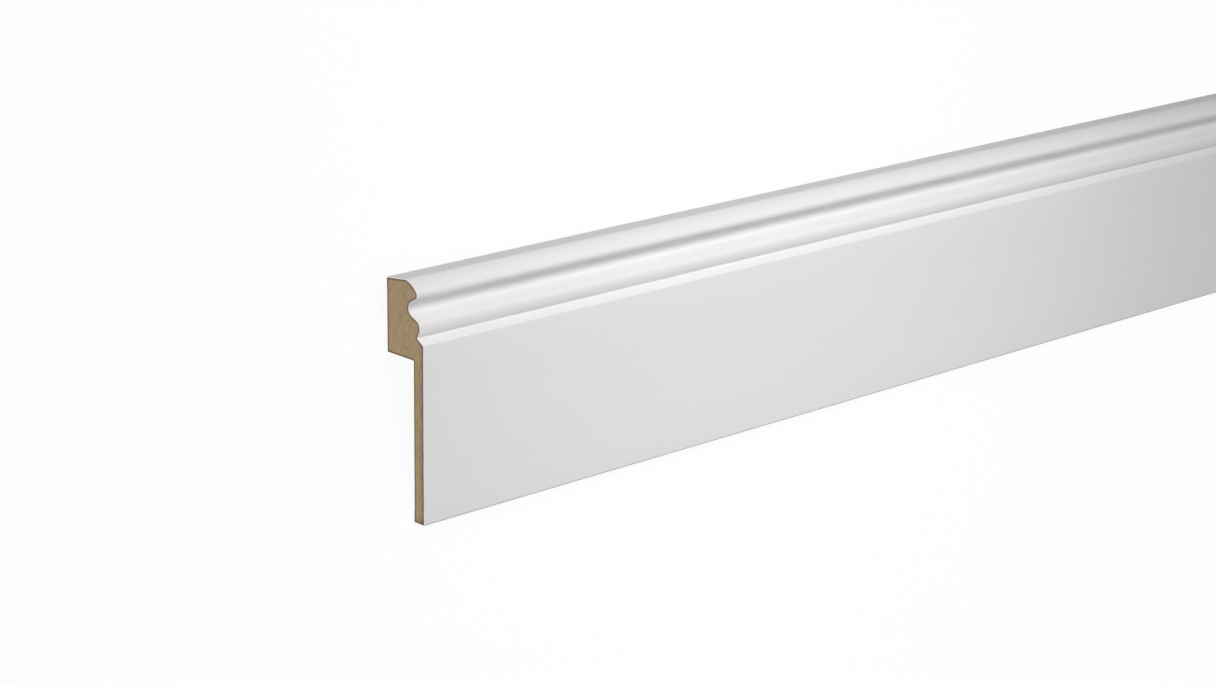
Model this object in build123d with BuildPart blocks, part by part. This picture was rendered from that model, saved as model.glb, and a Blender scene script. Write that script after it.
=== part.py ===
from build123d import *
import os
from math import atan2, cos, degrees, radians, sin

# A cover strip: one length of moulded board with a thick head and a thin plate hanging from its face.
# It goes over an old skirting, which the rebate behind the plate takes in. All sizes are millimetres.

# The board and its rebate
length = 2400
height = 110  # from the foot to the highest line of the top
thickness = 25  # from the wall side to the face
plate_thickness = 7
rebate_height = 74.5  # from the foot to the underside of the head
rebate_depth = thickness - plate_thickness

# The top slopes down towards the wall, from an arris that is set back from the face
top_setback = 12
top_fall = 1.5

# The moulding, from the top arris down to the face. Each member leaves along the end of the one before,
# so a member is a radius and the angle it turns through, or a straight run.
brow_lead = 10  # how far the brow points down where it leaves the top arris, in degrees
brow_radius = 12.4
brow_turn = 40
nose_radius = 2.5
nose_turn = 101
undercut_run = 3.3
cove_radius = 3.3
cove_turn = 127
ogee_run = 3.8
shoulder_radius = 3.5
shoulder_turn = 66
belly_radius = 6.4
belly_turn = 45
bevel_slope = 32  # how far the bevel points down where it leaves the groove, in degrees

# The edges that the tool or the foil rounds over
top_arris_radius = 1
groove_radius = 0.3
bevel_arris_radius = 0.5
foot_arris_radius = 0.8


def outward(slope):
    """The direction that points out of the face and down by this angle, where x runs up the strip."""
    return Vector(-sin(radians(slope)), cos(radians(slope)))


# The section, with x from the foot to the top and y from the wall side to the face
top_arris = Vector(height, thickness - top_setback)
foot_arris = Vector(0, thickness)

with BuildSketch() as section:
    with BuildLine():
        brow = JernArc(top_arris, outward(brow_lead), brow_radius, brow_turn)
        nose = JernArc(brow @ 1, brow % 1, nose_radius, nose_turn)
        undercut = PolarLine(nose @ 1, undercut_run, direction=nose % 1)
        cove = JernArc(undercut @ 1, undercut % 1, cove_radius, -cove_turn)
        ogee = PolarLine(cove @ 1, ogee_run, direction=cove % 1)
        shoulder = JernArc(ogee @ 1, ogee % 1, shoulder_radius, shoulder_turn)
        belly = JernArc(shoulder @ 1, shoulder % 1, belly_radius, belly_turn)
        groove = belly @ 1
        bevel_run = (thickness - groove.Y) / cos(radians(bevel_slope))
        bevel = PolarLine(groove, bevel_run, direction=outward(bevel_slope))
        Polyline(
            bevel @ 1,
            foot_arris,
            (0, rebate_depth),
            (rebate_height, rebate_depth),
            (rebate_height, 0),
            (height - top_fall, 0),
            top_arris,
        )
    make_face()
    rounded_edges = (
        (top_arris, top_arris_radius),
        (groove, groove_radius),
        (bevel @ 1, bevel_arris_radius),
        (foot_arris, foot_arris_radius),
    )
    for corner, radius in rounded_edges:
        fillet(section.vertices().sort_by_distance(corner)[0], radius)

# The strip lies face up. Its weight is past the edge of the head, so it tips back until the plate's
# foot is down too, and rests on the rear edges of the head and of the plate.
resting_tilt = degrees(atan2(rebate_depth, rebate_height))
footprint = section.sketch.rotate(Axis.Z, resting_tilt).bounding_box()
near_end = Plane(
    origin=(-length / 2, -footprint.center().X, -footprint.min.Y),
    x_dir=(0, cos(radians(resting_tilt)), sin(radians(resting_tilt))),
    z_dir=(1, 0, 0),
)

with BuildPart() as cover_strip:
    with BuildSketch(near_end):
        add(section.sketch)
    extrude(amount=length)

cover_strip.part.label = "cover_strip"
os.makedirs("parts", exist_ok=True)
export_step(cover_strip.part, "parts/cover_strip.step")
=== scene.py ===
from math import atan2, ceil, cos, degrees, pi, radians, sin, tan

import bpy
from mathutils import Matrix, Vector
from mathutils.geometry import delaunay_2d_cdt


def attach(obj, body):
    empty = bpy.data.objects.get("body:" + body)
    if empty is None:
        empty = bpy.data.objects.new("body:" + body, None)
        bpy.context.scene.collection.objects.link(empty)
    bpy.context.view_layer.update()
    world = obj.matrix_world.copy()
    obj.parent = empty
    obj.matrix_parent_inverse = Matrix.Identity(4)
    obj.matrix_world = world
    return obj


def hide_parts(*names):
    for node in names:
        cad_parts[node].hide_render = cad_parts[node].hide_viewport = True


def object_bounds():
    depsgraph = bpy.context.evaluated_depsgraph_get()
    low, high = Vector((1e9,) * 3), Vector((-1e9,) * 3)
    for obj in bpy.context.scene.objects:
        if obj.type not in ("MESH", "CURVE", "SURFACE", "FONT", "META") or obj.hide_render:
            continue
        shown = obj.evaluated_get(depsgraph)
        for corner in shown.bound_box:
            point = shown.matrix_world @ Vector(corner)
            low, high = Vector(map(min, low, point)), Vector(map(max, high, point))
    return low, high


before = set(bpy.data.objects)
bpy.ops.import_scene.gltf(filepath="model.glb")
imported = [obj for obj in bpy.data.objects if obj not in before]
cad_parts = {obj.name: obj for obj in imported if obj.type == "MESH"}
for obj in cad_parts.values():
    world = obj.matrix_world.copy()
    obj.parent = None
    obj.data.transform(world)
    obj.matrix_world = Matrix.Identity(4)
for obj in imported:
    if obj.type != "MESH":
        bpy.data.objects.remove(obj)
cad_low, cad_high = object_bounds()

# The strip. It is one length of fibreboard, run through a moulder: a thick head with a moulded front,
# and a thin plate that hangs from its face. The rebate behind the plate takes in an old skirting.
# White decor foil is glued over all that shows, and both ends are square saw cuts.
mm = 0.001
height = 110 * mm
thickness = 25 * mm
plate_thickness = 7 * mm
rebate_height = 74.5 * mm
rebate_depth = thickness - plate_thickness
foil_thickness = 0.35 * mm
foil_return = 5 * mm

# The moulding, from the top down to the face. Each member leaves along the end of the one before, so it is
# a radius and the angle that it turns through, in degrees, or a straight run.
top_setback = 12 * mm
top_fall = 1.5 * mm
brow_radius = 12.4 * mm
brow_turn = 40
nose_radius = 2.5 * mm
nose_turn = 101
undercut_run = 3.3 * mm
cove_radius = 3.3 * mm
cove_turn = 127
ogee_run = 3.8 * mm
shoulder_radius = 3.5 * mm
shoulder_turn = 66
belly_radius = 6.4 * mm
belly_turn = 45

# The edges that the tool or the foil rounds over
top_arris_radius = 1 * mm
groove_radius = 0.3 * mm
bevel_arris_radius = 0.5 * mm
foot_arris_radius = 0.8 * mm
rear_arris_radius = 0.45 * mm

# Each stretch of the section slopes this far down from straight out of the face, in degrees
up_the_back = -90
top_slope = -degrees(atan2(top_fall, thickness - top_setback))
brow_slope = 10
bevel_slope = 32
down_the_face = 90
along_the_foot = 180
up_the_rebate = 270
out_of_the_face = 360


class Outline:
    """The section's edge, walked as a cutter would follow it. x is up the strip and y out of its face."""

    finest_bend = radians(3)
    finest_chord = 0.12 * mm
    fewest_chords = 4
    longest_run = 12 * mm

    def __init__(self, x, y, slope):
        self.x, self.y, self.slope = x, y, slope
        self.wrapped = True
        self.points = []

    def step(self, length, bend=0.0):
        """One short chord of a run or an arc, with a point at its start."""
        self.points.append((self.x, self.y, self.slope, self.wrapped))
        ahead = radians(self.slope + bend / 2)
        self.x -= sin(ahead) * length
        self.y += cos(ahead) * length
        self.slope += bend

    def run(self, length):
        """A straight stretch."""
        steps = max(1, ceil(length / self.longest_run))
        for _ in range(steps):
            self.step(length / steps)

    def turn(self, radius, angle):
        """An arc that leaves along the stretch before it. A positive angle bends towards the foot."""
        turned = radians(abs(angle))
        chords = ceil(min(turned / self.finest_bend, turned * radius / self.finest_chord))
        steps = max(self.fewest_chords, chords)
        bend = angle / steps
        for _ in range(steps):
            self.step(2 * radius * sin(radians(abs(bend)) / 2), bend)

    def edge(self, angle, radius=0.0, x=None, y=None):
        """A straight stretch up to the line x or y, and the sharp or rounded edge there."""
        ahead = radians(self.slope)
        reach = (x - self.x) / -sin(ahead) if y is None else (y - self.y) / cos(ahead)
        self.run(reach - radius * tan(radians(abs(angle)) / 2))
        if radius:
            self.turn(radius, angle)
        else:
            self.slope += angle


# A rounded edge takes a little off the arc that meets it, here the brow and the belly
brow_lost = degrees(top_arris_radius * tan(radians(brow_slope - top_slope) / 2) / brow_radius)
belly_end = brow_slope + brow_turn + nose_turn - cove_turn + shoulder_turn + belly_turn
groove_turn = bevel_slope - belly_end
belly_lost = degrees(groove_radius * tan(radians(-groove_turn) / 2) / belly_radius)

# The walk starts on the back, where the foil does, and goes over the top, the moulding and the face
section = Outline(height - top_fall - foil_return, 0, up_the_back)
section.edge(top_slope - up_the_back, rear_arris_radius, x=height - top_fall)
section.edge(brow_slope + brow_lost - top_slope, top_arris_radius, x=height)
section.turn(brow_radius, brow_turn - brow_lost)
section.turn(nose_radius, nose_turn)
section.run(undercut_run)
section.turn(cove_radius, -cove_turn)
section.run(ogee_run)
section.turn(shoulder_radius, shoulder_turn)
section.turn(belly_radius, belly_turn - belly_lost)
section.turn(groove_radius, groove_turn + belly_lost)
section.edge(down_the_face - bevel_slope, bevel_arris_radius, y=thickness)
section.edge(along_the_foot - down_the_face, foot_arris_radius, x=0)
section.edge(up_the_rebate - along_the_foot, rear_arris_radius, y=rebate_depth)
section.run(foil_return)

# The foil ends in the rebate. From there the bare board goes on, set in by the foil's thickness.
foil_end = len(section.points)
section.slope = out_of_the_face
section.run(foil_thickness)
section.wrapped = False
section.slope = up_the_rebate
section.edge(along_the_foot - up_the_rebate, x=rebate_height)
section.edge(up_the_rebate - along_the_foot, y=foil_thickness)
section.run(height - top_fall - foil_return - section.x)
section.wrapped = True
section.slope = along_the_foot
section.run(foil_thickness)

# It lies face up, tipped back on the rear edges of its head and its plate
tilt = atan2(rebate_depth, rebate_height)
heel = Vector((
    0,
    cad_high.y - (height - top_fall) * cos(tilt),
    cad_low.z - rebate_depth * cos(tilt),
))


def lying(along, x, y):
    """The place in the frame of a point of the section, at a distance along the strip."""
    return heel + Vector((along, x * cos(tilt) - y * sin(tilt), x * sin(tilt) + y * cos(tilt)))


# At a cut end the foil shows as a thin white line round the bare board. Inside it the board has a darker
# rim, burnished by the cutters and soaked with glue, so the end has a row of points where the rim ends.
rim_depth = 1.3 * mm
fill_spacing = 3 * mm
closest_points = 0.3 * rim_depth
least_depth_on_rim = 0.95 * rim_depth
least_depth_of_fill = 2 * rim_depth
under_foil = [
    Vector((x - cos(radians(slope)) * foil_thickness, y - sin(radians(slope)) * foil_thickness))
    for x, y, slope, _ in section.points[1:foil_end]
]
edge_points = [Vector(point[:2]) for point in section.points]
board_edge = [edge_points[-1], *under_foil, *edge_points[foil_end + 1:-1]]
board_sides = list(zip(board_edge, board_edge[1:] + board_edge[:1]))


def depth_of(point):
    """How far a point of the section is from the nearest side of the bare board."""
    distances = []
    for start, end in board_sides:
        run = end - start
        share = min(max((point - start).dot(run) / run.length_squared, 0), 1)
        distances.append((point - start - run * share).length)
    return min(distances)


def in_board(point):
    """Whether a point is in the board, because a line from it crosses an odd number of sides."""
    crossed = 0
    for start, end in board_sides:
        if (start.x > point.x) != (end.x > point.x):
            crossing = start.lerp(end, (point.x - start.x) / (end.x - start.x))
            crossed += crossing.y > point.y
    return crossed % 2 == 1


inner_points = []
for start, end in board_sides:
    run = end - start
    leftward = Vector((-run.y, run.x)).normalized()
    pieces = ceil(run.length / fill_spacing)
    for i in range(pieces + 1):
        point = start + run * (i / pieces) + leftward * rim_depth
        near_another = any((point - other).length < closest_points for other in inner_points)
        if not near_another and depth_of(point) > least_depth_on_rim:
            inner_points.append(point)
for row in range(ceil(height / fill_spacing)):
    for column in range(ceil(thickness / fill_spacing)):
        point = Vector((row + 0.5 * (column % 2), column + 0.5)) * fill_spacing
        if depth_of(point) > least_depth_of_fill and in_board(point):
            inner_points.append(point)
triangles_inside = 1
same_point = 1e-8
_, _, triangles, sources, _, _ = delaunay_2d_cdt(
    board_edge + inner_points, [], [range(len(board_edge))], triangles_inside, same_point
)
end_triangles = [[sources[corner][0] for corner in triangle] for triangle in triangles]

# The long faces run from station to station. The foil's cut edge and the board's fill close each end, and
# the corner of a face there is marked 1 on the board's edge and 0 further in.
stations = 96
foil_slot, board_slot = 0, 1
ring = len(section.points)
corners, faces, slots, rims = [], [], [], []
for station in range(stations + 1):
    along = cad_low.x + (cad_high.x - cad_low.x) * station / stations
    corners += [lying(along, *point) for point in edge_points]
for station in range(stations):
    for i in range(ring):
        here, there = station * ring, (station + 1) * ring
        after = (i + 1) % ring
        faces.append((here + i, here + after, there + after, there + i))
        slots.append(foil_slot if section.points[i][3] else board_slot)
        rims += [0, 0, 0, 0]
for along, first in ((cad_low.x, 0), (cad_high.x, stations * ring)):
    foil_edge = list(range(first, first + foil_end + 1))
    uncovered = list(range(first + foil_end + 1, first + ring))
    added = len(corners)
    corners += [lying(along, *point) for point in under_foil + inner_points]
    under = list(range(added, added + len(under_foil)))
    inner = list(range(added + len(under_foil), len(corners)))
    board = [uncovered[-1], *under, *uncovered[:-1], *inner]
    end_faces = [(foil_edge[i], foil_edge[i + 1], board[i + 1], board[i]) for i in range(foil_end)]
    end_rims = [(0, 0, 0, 0)] * foil_end
    for triangle in end_triangles:
        end_faces.append(tuple(board[corner] for corner in triangle))
        end_rims.append(tuple(float(corner < len(board_edge)) for corner in triangle))
    for face, marks in zip(end_faces, end_rims):
        faces.append(face if first else face[::-1])
        rims += marks if first else marks[::-1]
    slots += [foil_slot] * foil_end + [board_slot] * len(end_triangles)

strip_mesh = bpy.data.meshes.new("cover_strip_finish")
strip_mesh.from_pydata(corners, [], faces)
strip_mesh.attributes.new("rim", "FLOAT", "CORNER").data.foreach_set("value", rims)
strip = bpy.data.objects.new("foil_wrapped_strip", strip_mesh)
bpy.context.scene.collection.objects.link(strip)


class Value:
    """A socket of a material. Arithmetic on it adds the Math nodes that work it out."""

    def __init__(self, tree, socket):
        self.tree, self.socket = tree, socket

    def worked_out(self, operation, first, second):
        node = self.tree.nodes.new("ShaderNodeMath")
        node.operation = operation
        for slot, value in zip(node.inputs, (first, second)):
            if isinstance(value, Value):
                self.tree.links.new(value.socket, slot)
            else:
                slot.default_value = value
        return Value(self.tree, node.outputs[0])

    def __add__(self, other):
        return self.worked_out("ADD", self, other)

    def __sub__(self, other):
        return self.worked_out("SUBTRACT", self, other)

    def __rsub__(self, other):
        return self.worked_out("SUBTRACT", other, self)

    def __mul__(self, other):
        return self.worked_out("MULTIPLY", self, other)

    __radd__ = __add__
    __rmul__ = __mul__


class Finish:
    """A material, or the world, and the nodes that make it."""

    def __init__(self, owner):
        self.owner = owner
        owner.use_nodes = True
        self.tree = owner.node_tree
        self.tree.nodes.clear()

    def node(self, kind, out=None, settings=None, **sockets):
        """One node: its settings come first, then the values and links of its sockets."""
        node = self.tree.nodes.new("ShaderNode" + kind)
        for name, setting in (settings or {}).items():
            setattr(node, name, setting)
        for name, value in sockets.items():
            slot = self.named(node.inputs, name)
            if isinstance(value, Value):
                self.tree.links.new(value.socket, slot)
            else:
                slot.default_value = value
        if node.outputs:
            return Value(self.tree, self.named(node.outputs, out) if out else node.outputs[0])

    @staticmethod
    def named(sockets, name):
        """The socket of this name, or of this identifier where a node has several of one name."""
        words = name.replace("_", " ")
        return next(s for s in sockets if s.identifier == name or s.name == words)

    def strip_place(self):
        """Where a point lies in the strip: along it, up its height and out of its face, in metres."""
        return self.node(
            "Mapping",
            settings={"vector_type": "TEXTURE"},
            Vector=self.node("TexCoord", out="Object"),
            Location=heel,
            Rotation=(tilt, 0, 0),
        )

    def stretched_noise(self, place, grain, detail):
        """Noise from 0 to 1 whose grains have these sizes along, up and out of the strip, in metres."""
        return self.node(
            "TexNoise",
            Vector=self.node(
                "VectorMath",
                settings={"operation": "DIVIDE"},
                Vector=place,
                Vector_001=grain,
            ),
            Scale=1.0,
            Detail=detail,
        )

    def waves(self, shape, axis, place, pitch, wobble):
        """Soft waves from 0 to 1, straight BANDS or round RINGS, crest to crest by the pitch in metres."""
        wave_at_scale_1 = 2 * pi / 20
        return self.node(
            "TexWave",
            out="Fac",
            settings={"wave_type": shape, shape.lower() + "_direction": axis},
            Vector=place,
            Scale=wave_at_scale_1 / pitch,
            Distortion=wobble,
            Detail_Scale=0.2,
        )

    def fade(self, value, none, full):
        """0 where the value is at none, 1 where it is at full, and a soft change between."""
        return self.node(
            "MapRange",
            settings={"interpolation_type": "SMOOTHSTEP"},
            Value=value,
            From_Min=none,
            From_Max=full,
        )

    def in_view(self):
        """1 where the camera sees it, straight or in gloss or glass, and 0 where it only gives light."""
        return (
            self.node("LightPath", out="Is Camera Ray")
            + self.node("LightPath", out="Is Glossy Ray")
            + self.node("LightPath", out="Is Transmission Ray")
        )

    def blend(self, factor, first, second):
        """One colour or the other, by the factor."""
        return self.node(
            "Mix",
            out="Result_Color",
            settings={"data_type": "RGBA"},
            Factor_Float=factor,
            A_Color=first,
            B_Color=second,
        )


# White decor foil: a satin film, rolled on over hot glue, so that it shows a faint ripple along the strip.
# Round the arris of the foot it is painted a little grey, a painted shade for the shadow that falls on that
# downturned edge.
soft_white = (0.802, 0.789, 0.787, 1)
clear_white = (0.822, 0.809, 0.807, 1)
painted_shade_white = (0.5, 0.49, 0.475, 1)
foil = Finish(bpy.data.materials.new("white_decor_foil"))
place = foil.strip_place()
tone = foil.stretched_noise(place, (90 * mm, 14 * mm, 14 * mm), 3)
pores = foil.stretched_noise(place, (1.6 * mm, 0.5 * mm, 0.5 * mm), 2)
up_from_foot = foil.node("SeparateXYZ", out="Y", Vector=place)
out_of_face = foil.node("SeparateXYZ", out="Z", Vector=place)
near_foot = foil.fade(up_from_foot, 1.0 * mm, 0.4 * mm)
near_face = foil.fade(out_of_face, thickness - 1.4 * mm, thickness - 0.5 * mm)
# Painted shade: the foil over the foot's arris is greyed where that edge turns down into shadow
painted_foot_shade = near_foot * near_face
foil_shader = foil.node(
    "BsdfPrincipled",
    Base_Color=foil.blend(0.8 * painted_foot_shade, foil.blend(tone, soft_white, clear_white), painted_shade_white),
    Roughness=0.5 + 0.06 * pores,
    Specular_IOR_Level=0.15,
    Normal=foil.node("Bump", Strength=0.2, Distance=0.01 * mm, Height=pores),
)
foil.node("OutputMaterial", Surface=foil_shader)

# Bare fibreboard: brown wood fibre and resin, felted flat and pressed, densest and greyest at its face. The
# saw leaves faint arcs across the ends, and the moulder's cutters a fine ripple in the rebate.
dark_fibre = (0.285, 0.202, 0.110, 1)
pale_fibre = (0.455, 0.340, 0.200, 1)
layer_brown = (0.320, 0.226, 0.122, 1)
cloud_straw = (0.435, 0.320, 0.182, 1)
bundle_brown = (0.170, 0.115, 0.058, 1)
dust_straw = (0.520, 0.410, 0.262, 1)
rubbed_brown = (0.185, 0.125, 0.063, 1)
dense_grey = (0.180, 0.160, 0.138, 1)
glue_brown = (0.115, 0.088, 0.062, 1)
saw_reach = 0.16
saw_pitch = 1.7 * mm
cutter_pitch = 1.3 * mm
bare = Finish(bpy.data.materials.new("bare_fibreboard"))
place = bare.strip_place()
out_of_face = bare.node("SeparateXYZ", out="Z", Vector=place)
facing_along = bare.node(
    "VectorMath",
    out="Value",
    settings={"operation": "DOT_PRODUCT"},
    Vector=bare.node("NewGeometry", out="Normal"),
    Vector_001=(1, 0, 0),
)
on_an_end = facing_along * facing_along
felt = bare.stretched_noise(place, (1.6 * mm, 1.6 * mm, 0.7 * mm), 5)
layers = bare.stretched_noise(place, (40 * mm, 24 * mm, 1.4 * mm), 2)
clouds = bare.stretched_noise(place, (9 * mm, 7 * mm, 4 * mm), 2)
bundles = bare.fade(bare.stretched_noise(place, (2.6 * mm, 2.8 * mm, 0.3 * mm), 2), 0.6, 0.7)
dust = bare.fade(bare.stretched_noise(place, (0.6 * mm, 0.6 * mm, 0.3 * mm), 3), 0.58, 0.75)
mottle = bare.fade(bare.stretched_noise(place, (5 * mm, 5 * mm, 1.8 * mm), 3), 0.4, 0.6)
dense_back = bare.fade(out_of_face, 1.6 * mm, 0)
dense_face = bare.fade(out_of_face, thickness - 4.2 * mm, thickness - 1.5 * mm)
rim = bare.fade(bare.node("Attribute", out="Fac", settings={"attribute_name": "rim"}), 0.1, 0.7)
from_saw_centre = bare.node(
    "VectorMath",
    settings={"operation": "SUBTRACT"},
    Vector=place,
    Vector_001=(0, height / 2, saw_reach),
)
saw_arcs = bare.waves("RINGS", "X", from_saw_centre, saw_pitch, 2.0)
cutter_ripple = bare.waves("BANDS", "X", place, cutter_pitch, 0.5)
tool_marks = on_an_end * saw_arcs + (1 - on_an_end) * cutter_ripple
fibre = bare.blend(bare.fade(felt, 0.3, 0.7), dark_fibre, pale_fibre)
for share, colour in (
    (0.5 * bare.fade(layers, 0.35, 0.65), layer_brown),
    (0.45 * bare.fade(clouds, 0.35, 0.65), cloud_straw),
    (0.65 * bundles, bundle_brown),
    (0.5 * dust, dust_straw),
    (0.12 * tool_marks, rubbed_brown),
    (0.2 * dense_back + dense_face * (0.13 + 0.6 * mottle), dense_grey),
    (rim * (0.45 + 0.8 * felt), glue_brown),
):
    fibre = bare.blend(share, fibre, colour)
bare_shader = bare.node(
    "BsdfPrincipled",
    Base_Color=fibre,
    Roughness=0.86 + 0.1 * felt,
    Specular_IOR_Level=0.3,
    Normal=bare.node(
        "Bump",
        Strength=0.6,
        Distance=0.06 * mm,
        Height=felt + 0.5 * dust + 0.35 * tool_marks,
    ),
)
bare.node("OutputMaterial", Surface=bare_shader)

# The two finishes go on the faces that each one covers, in the order of foil_slot and board_slot. Edges
# sharper than the members' chords stay crisp.
crisp_edge = radians(30)
for finish in (foil, bare):
    strip_mesh.materials.append(finish.owner)
strip_mesh.polygons.foreach_set("material_index", slots)
strip_mesh.shade_smooth()
strip_mesh.set_sharp_from_angle(angle=crisp_edge)
strip_mesh.validate()

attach(strip, "root")
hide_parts("cover_strip")

# A plain studio floor of white paper. The camera sees it white, with a faint shadow of the strip on it, and
# it gives little light back, because the photo has no floor near the strip.
floor_reach = 8.0
dull_grey = (0.1, 0.1, 0.1, 1)
paper_white = (0.95, 0.95, 0.95, 1)
paper_glow = 0.95
floor_mesh = bpy.data.meshes.new("studio_floor")
floor_mesh.from_pydata(
    [(x * floor_reach, y * floor_reach, cad_low.z) for x, y in ((-1, -1), (1, -1), (1, 1), (-1, 1))],
    [],
    [(0, 1, 2, 3)],
)
floor = bpy.data.objects.new("studio_floor", floor_mesh)
bpy.context.scene.collection.objects.link(floor)
paper = Finish(bpy.data.materials.new("white_floor_paper"))
seen = paper.in_view()
paper.node(
    "OutputMaterial",
    Surface=paper.node(
        "MixShader",
        Fac=paper_glow * seen,
        Shader=paper.node("BsdfDiffuse", Color=paper.blend(seen, dull_grey, paper_white)),
        Shader_001=paper.node("Emission", Color=(1, 1, 1, 1), Strength=1.0),
    ),
)
floor_mesh.materials.append(paper.owner)

# Plain studio light. The air gives a little from all sides, and the camera sees it white. A soft box before
# the top of the face lights the end that the photo shows, and another the rest of the length. A low one
# fills the undersides, and one beyond each end the saw cut.
air_gives, air_shows = 0.26, 0.97
air = Finish(bpy.data.worlds.new("studio_air"))
air.node("OutputWorld", Surface=air.node(
    "Background",
    Color=(1, 1, 1, 1),
    Strength=air_gives + (air_shows - air_gives) * air.in_view(),
))
bpy.context.scene.world = air.owner
length = cad_high.x - cad_low.x
face_side = Vector((0, -sin(tilt), cos(tilt)))
top_side = Vector((0, cos(tilt), sin(tilt)))


def soft_box(name, along, width, depth, grid, power, angle=0, reach=0, aside=0):
    """A soft box with a grid, that shines at a place along the strip. It hangs at an angle from straight
    before the face towards the top, as far off as its reach, or stands aside along the strip."""
    spot = lying(cad_low.x + along, height / 2, thickness)
    lamp = bpy.data.objects.new(name, bpy.data.lights.new(name, "AREA"))
    lamp.data.shape = "RECTANGLE"
    lamp.data.size, lamp.data.size_y = width, depth
    lamp.data.spread = radians(grid)
    lamp.data.energy = power
    lamp.location = spot + Vector((aside, 0, 0)) + reach * (
        face_side * cos(radians(angle)) + top_side * sin(radians(angle))
    )
    lamp.rotation_euler = (spot - lamp.location).to_track_quat("-Z", "Y").to_euler()
    lamp.visible_camera = False
    bpy.context.scene.collection.objects.link(lamp)


soft_box("key_light", along=0.2, width=0.56, depth=0.8, grid=50, power=1.78, angle=41, reach=1.4)
soft_box("long_light", along=1.74, width=2.02, depth=0.8, grid=22, power=2.95, angle=41, reach=1.3)
soft_box("foot_light", along=length / 2, width=2.4, depth=0.4, grid=180, power=1.8, angle=-52, reach=1.0)
soft_box("near_end_light", along=0, width=0.6, depth=0.04, grid=120, power=1.32, aside=-0.6)
soft_box("far_end_light", along=length, width=0.6, depth=0.04, grid=120, power=1.32, aside=0.6)

# The camera looks along the strip from beyond its near end and above it. The photo has the strip upright on
# its foot, so the camera is rolled until the strip that lies here stands upright in the picture.
camera = bpy.data.objects.new("camera", bpy.data.cameras.new("camera"))
camera.data.sensor_width = 36
camera.data.lens = 87.34
camera.location = (-1.974027, 0.162675, 1.027140)
camera.rotation_euler = (radians(0.8398), radians(-41.7219), radians(-11.3422))
camera.data.clip_start = 0.01
bpy.context.scene.collection.objects.link(camera)
bpy.context.scene.camera = camera

bpy.context.scene.view_settings.view_transform = "Standard"
